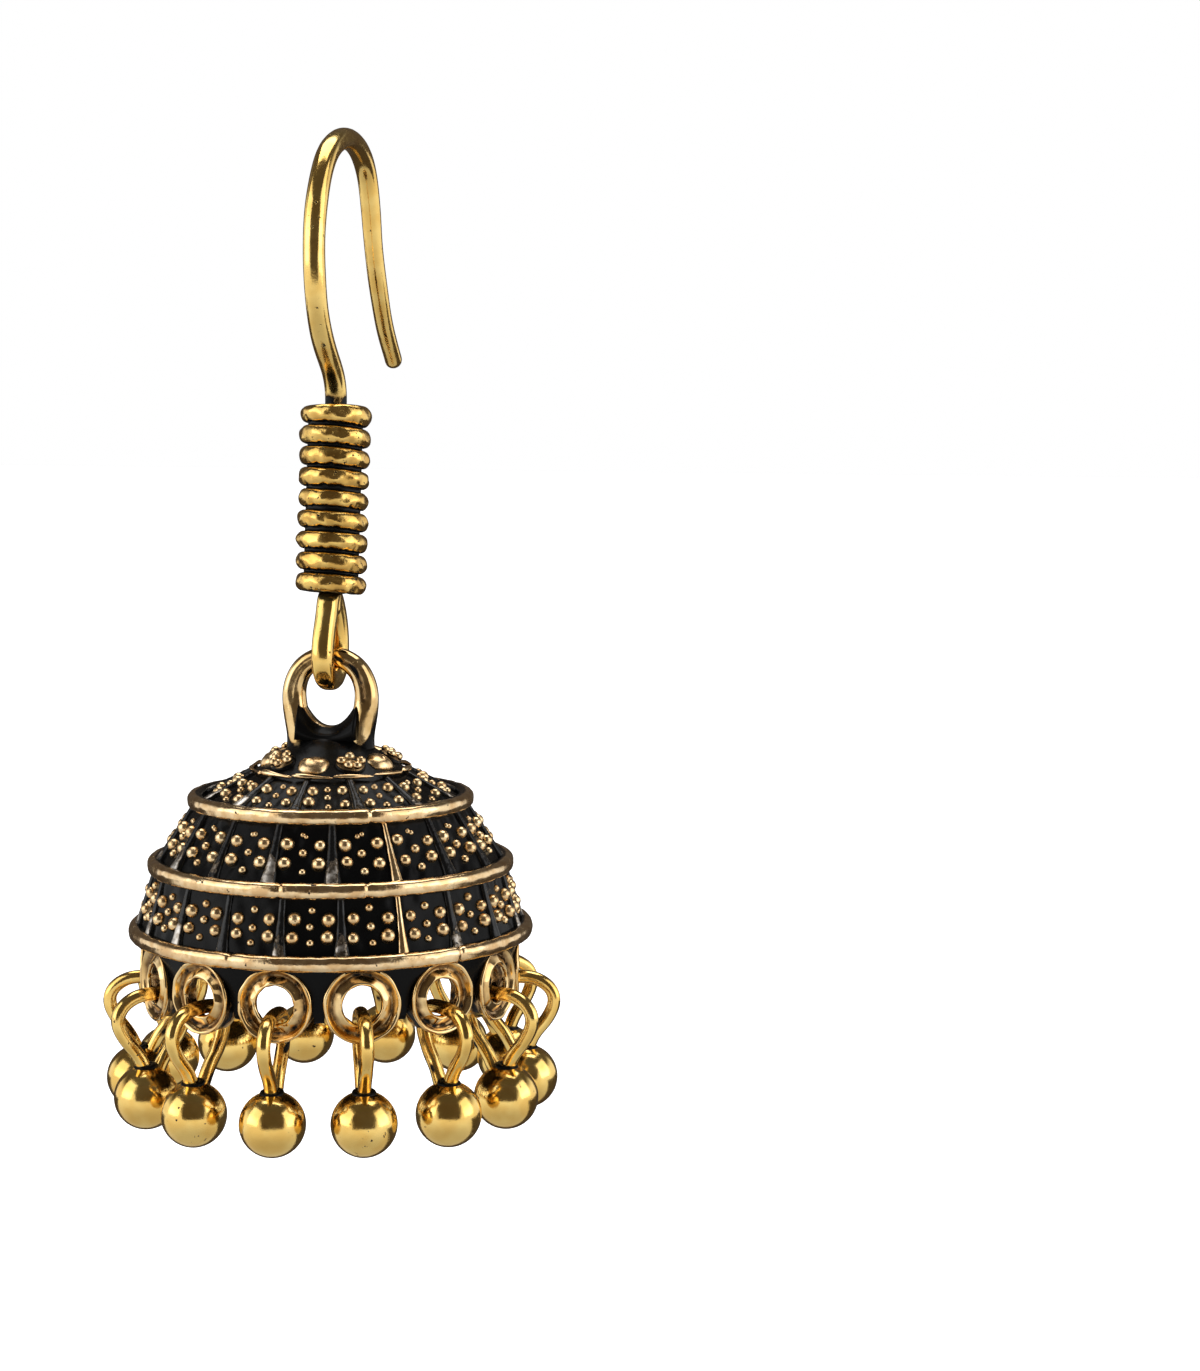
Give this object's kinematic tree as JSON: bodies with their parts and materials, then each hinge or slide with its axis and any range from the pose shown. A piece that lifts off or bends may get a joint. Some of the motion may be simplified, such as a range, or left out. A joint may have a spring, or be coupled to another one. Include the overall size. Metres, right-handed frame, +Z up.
{
  "type": "jhumka drop earring",
  "caption": "Jhumka earring: a fish-hook ear wire with a ribbed sleeve carries a stepped, patinated bell edged with eyelets and linked ball drops.",
  "frame": {"origin": "underside of the wire at the top of its arch, where the earring hangs in the ear", "axes": "+Z up along the hanging earring, +Y towards the hook's open end, X across the hook's plane"},
  "size_m": [0.026, 0.0274, 0.057],
  "materials": {
    "polished_gold": "polished warm antique gold plating, with fine scratches and small dark pits",
    "worn_gold": "worn, lightly dented antique gold plating with black left in the grooves",
    "patina_gold": "black patina with the gold rubbed bright on the raised rims, dots, petals and loops"
  },
  "bodies": {
    "ear_wire": {"ear_wire": "polished_gold", "coil_sleeve": "worn_gold"},
    "bell": {"bell": "patina_gold", "drop_01": "polished_gold", "drop_02": "polished_gold", "drop_03": "polished_gold", "drop_04": "polished_gold", "drop_05": "polished_gold", "drop_06": "polished_gold", "drop_07": "polished_gold", "drop_08": "polished_gold", "drop_09": "polished_gold", "drop_10": "polished_gold", "drop_11": "polished_gold", "drop_12": "polished_gold", "drop_13": "polished_gold", "drop_14": "polished_gold"}
  },
  "joints": [
    {"name": "bell_swing", "type": "hinge", "parent": "ear_wire", "child": "bell", "pos_m": [0, -0.00363, -0.03057], "axis": [0, 1, 0], "range_deg": [-90, 90]}
  ]
}
